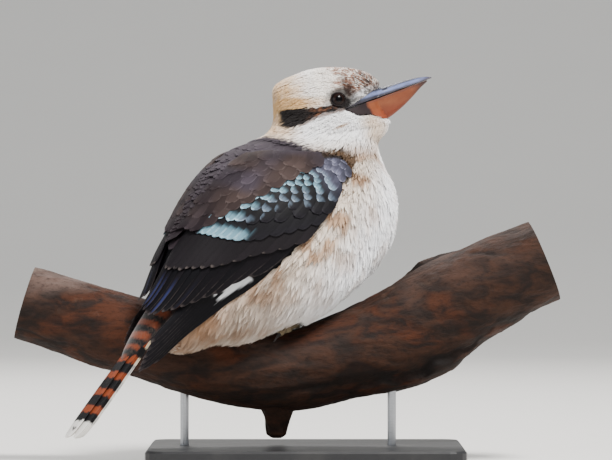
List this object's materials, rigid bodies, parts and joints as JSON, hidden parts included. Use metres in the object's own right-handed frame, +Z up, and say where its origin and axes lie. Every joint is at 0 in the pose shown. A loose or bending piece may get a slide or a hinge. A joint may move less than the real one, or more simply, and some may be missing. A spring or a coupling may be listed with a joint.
{
  "type": "laughing kookaburra display model",
  "caption": "Still life-size kingfisher-like bird with folded wings and barred tail, gripping a short cut branch held by two rods on a flat base.",
  "frame": {"origin": "middle of the underside of the stand's base, on the surface it stands on", "axes": "+Z up; +X to the bird's right as seen in the picture, the way the bill points; +Y away from the viewer"},
  "size_m": [0.3819, 0.1766, 0.277],
  "materials": {
    "cream_plumage": "soft cream-white plumage, buff below",
    "dark_plumage": "dark brown to black flight feathers, pale blue on the coverts",
    "barred_plumage": "rufous and black bars with white tips",
    "bill_slate": "slate-black horn with a soft sheen",
    "bill_horn": "salmon horn with a soft sheen",
    "eye_dark": "glossy dark brown eye",
    "foot_skin": "scaly olive-grey skin",
    "claw_black": "black horn",
    "perch_bark": "weathered branch with peeling bark",
    "base_paint": "black painted plinth",
    "rod_steel": "brushed steel"
  },
  "bodies": {
    "root": {"head": "cream_plumage", "neck": "cream_plumage", "torso": "cream_plumage", "wing_right": "dark_plumage", "wing_left": "dark_plumage", "tail": "barred_plumage", "bill_upper": "bill_slate", "bill_lower": "bill_horn", "eye_right": "eye_dark", "eye_left": "eye_dark", "leg_right": "foot_skin", "leg_left": "foot_skin", "claw_right_inner": "claw_black", "claw_right_middle": "claw_black", "claw_right_outer": "claw_black", "claw_right_hind": "claw_black", "claw_left_inner": "claw_black", "claw_left_middle": "claw_black", "claw_left_outer": "claw_black", "claw_left_hind": "claw_black", "perch_branch": "perch_bark", "stand_base": "base_paint", "stand_rod_left": "rod_steel", "stand_rod_right": "rod_steel"}
  },
  "joints": []
}
